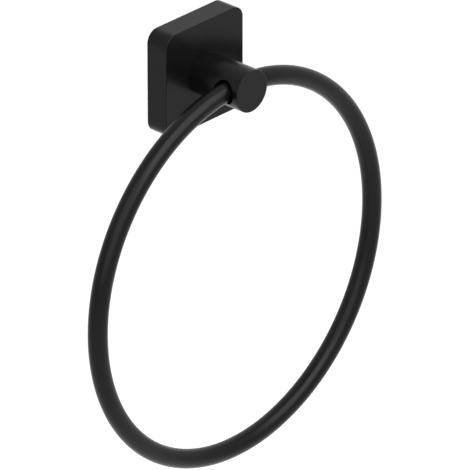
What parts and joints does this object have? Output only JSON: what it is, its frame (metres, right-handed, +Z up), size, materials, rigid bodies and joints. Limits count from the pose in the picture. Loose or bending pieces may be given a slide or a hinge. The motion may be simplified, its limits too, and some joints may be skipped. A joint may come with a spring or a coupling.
{
  "type": "towel ring",
  "caption": "Wall-mounted towel ring: a closed round-rod hoop that swings in the bore of a round post, on a hollow square cover with rounded corners over a slotted wall bracket.",
  "frame": {"origin": "on the wall plane, where the axis of the post meets it, midway between the two screw slots", "axes": "+X along the wall to the right, +Y into the wall, +Z up; the post points along -Y into the room"},
  "size_m": [0.19, 0.04, 0.2106],
  "materials": {
    "black_coat": "satin",
    "bracket_zinc": "satin",
    "screw_zinc": "satin",
    "black_oxide": "satin"
  },
  "bodies": {
    "wall_mount": {"wall_bracket": "bracket_zinc", "cover": "black_coat", "grub_screw": "black_oxide", "post": "black_coat", "lock_washer": "screw_zinc", "post_screw": "screw_zinc"},
    "hoop": {"ring": "black_coat"}
  },
  "joints": [
    {"name": "ring_swing", "type": "hinge", "parent": "wall_mount", "child": "hoop", "pos_m": [0, -0.03118, -0.00018], "axis": [-1, 0, 0], "range_deg": [-8, 188]}
  ]
}
